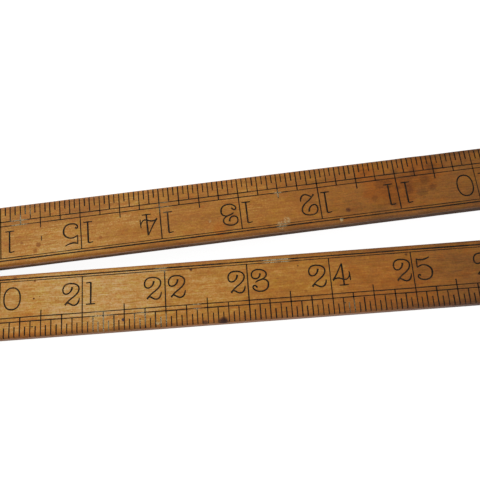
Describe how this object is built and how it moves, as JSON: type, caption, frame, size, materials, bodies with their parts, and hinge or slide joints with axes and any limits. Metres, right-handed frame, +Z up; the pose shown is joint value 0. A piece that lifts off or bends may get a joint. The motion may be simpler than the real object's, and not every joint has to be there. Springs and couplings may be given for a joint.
{
  "type": "folding rule",
  "caption": "Three-foot boxwood folding rule with a brass arch joint, brass butt hinges and brass tips.",
  "frame": {"origin": "on the arch joint's pin axis, in the plane of the outside faces that the rule lies on", "axes": "+X along the third and fourth legs, +Z up through the thickness, out of the inside faces"},
  "size_m": [0.4687, 0.0635, 0.0068],
  "materials": {
    "boxwood": "rubbed, satin, aged",
    "brass": "aged, dulled",
    "steel": "filed flush, dulled",
    "ink": "worn black filling of the stamped marks"
  },
  "bodies": {
    "third_leg": {"leg_18_27": "boxwood", "joint_leaf_upper": "brass", "joint_leaf_lower": "brass", "arch_plate_top": "brass", "arch_plate_bottom": "brass", "joint_rivets_18_27": "brass", "hinge_27_leaf_18_27": "brass", "hinge_27_pin": "steel", "hinge_27_rivets_18_27": "brass", "closing_pin_inner": "steel"},
    "second_leg": {"leg_9_18": "boxwood", "joint_cheek_top": "brass", "joint_cheek_bottom": "brass", "joint_leaf_middle": "brass", "joint_pin": "steel", "joint_rivets_9_18": "brass", "hinge_9_leaf_9_18": "brass", "hinge_9_pin": "steel", "hinge_9_rivets_9_18": "brass"},
    "first_leg": {"leg_0_9": "boxwood", "hinge_9_leaf_0_9": "brass", "hinge_9_rivets_0_9": "brass", "tip_0": "brass", "tip_rivets_0": "brass"},
    "fourth_leg": {"leg_27_36": "boxwood", "hinge_27_leaf_27_36": "brass", "hinge_27_rivets_27_36": "brass", "tip_36": "brass", "tip_rivets_36": "brass", "closing_pin_outer": "steel"}
  },
  "joints": [
    {"name": "main_joint", "type": "hinge", "parent": "third_leg", "child": "second_leg", "pos_m": [0, 0, 0], "axis": [0, 0, 1], "range_deg": [-3, 177]},
    {"name": "hinge_9", "type": "hinge", "parent": "second_leg", "child": "first_leg", "pos_m": [0.22829, 0.01196, 0.0051], "axis": [0.0523, -0.9986, 0], "range_deg": [0, 180]},
    {"name": "hinge_27", "type": "hinge", "parent": "third_leg", "child": "fourth_leg", "pos_m": [0.2286, 0, 0.0051], "axis": [0, -1, 0], "range_deg": [0, 180]}
  ]
}
